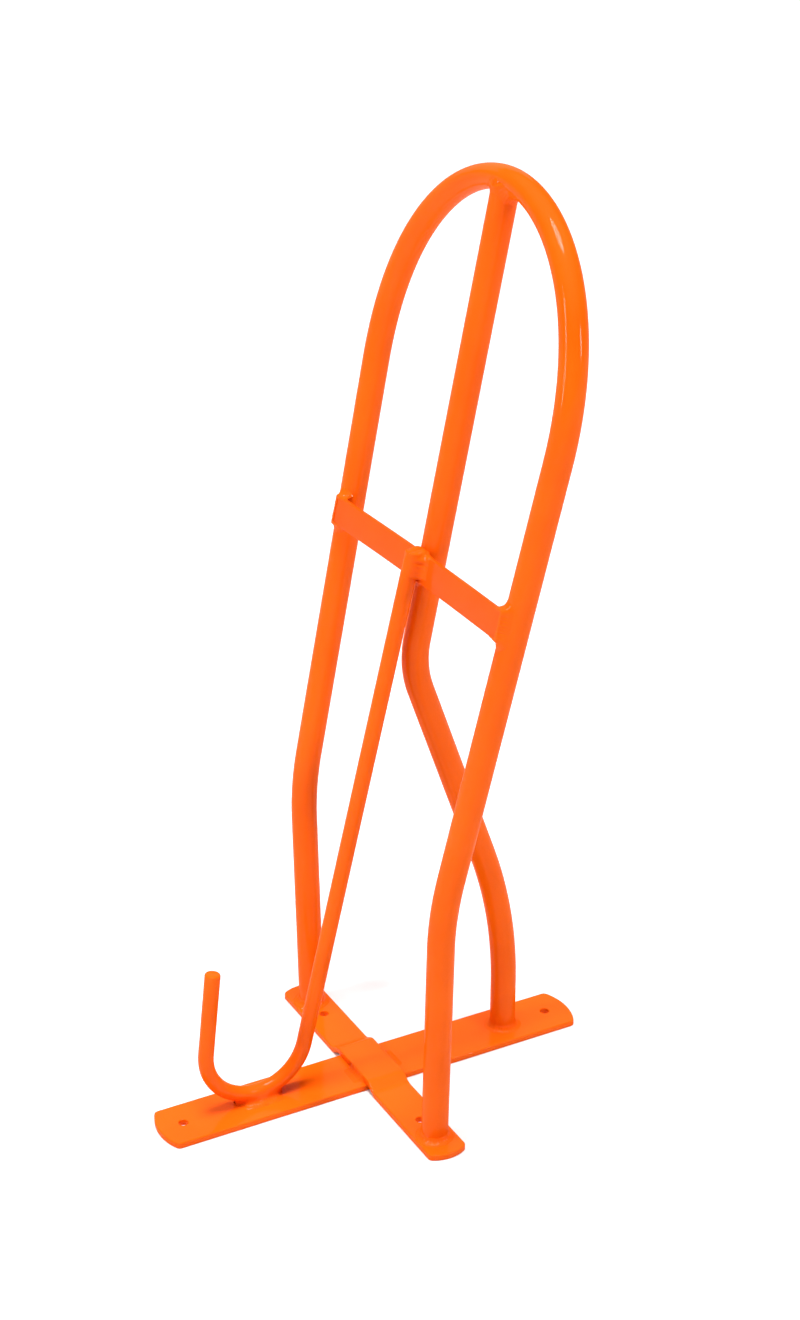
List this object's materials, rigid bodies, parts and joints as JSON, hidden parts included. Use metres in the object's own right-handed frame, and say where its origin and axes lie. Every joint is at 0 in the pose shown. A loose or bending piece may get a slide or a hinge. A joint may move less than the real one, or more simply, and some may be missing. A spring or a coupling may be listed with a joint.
{
  "type": "saddle rack",
  "caption": "Wall-mounted tubular steel saddle rack with a tall leaning loop, a centre brace, a cross-shaped wall plate and a J-shaped bridle hook.",
  "frame": {"origin": "centre of the wall plates' underside, on the middle plane", "axes": "+Z away from the wall, +X towards the rack's upper end on the wall (the hook is on the -X side), +Y across the loop"},
  "size_m": [0.2986, 0.231, 0.5847],
  "materials": {
    "painted_steel": "gloss",
    "painted_weld": "gloss"
  },
  "bodies": {
    "root": {"long_wall_plate": "painted_steel", "short_wall_plate": "painted_steel", "loop_tube": "painted_steel", "centre_tube": "painted_steel", "cross_bar": "painted_steel", "hook_rod": "painted_steel", "foot_weld_left": "painted_weld", "foot_weld_right": "painted_weld", "foot_weld_centre": "painted_weld", "nose_weld": "painted_weld", "bar_weld_left": "painted_weld", "bar_weld_right": "painted_weld", "bar_weld_centre": "painted_weld", "hook_top_weld": "painted_weld", "hook_foot_weld_left": "painted_weld", "hook_foot_weld_right": "painted_weld", "plate_weld_front": "painted_weld", "plate_weld_back": "painted_weld"}
  },
  "joints": []
}
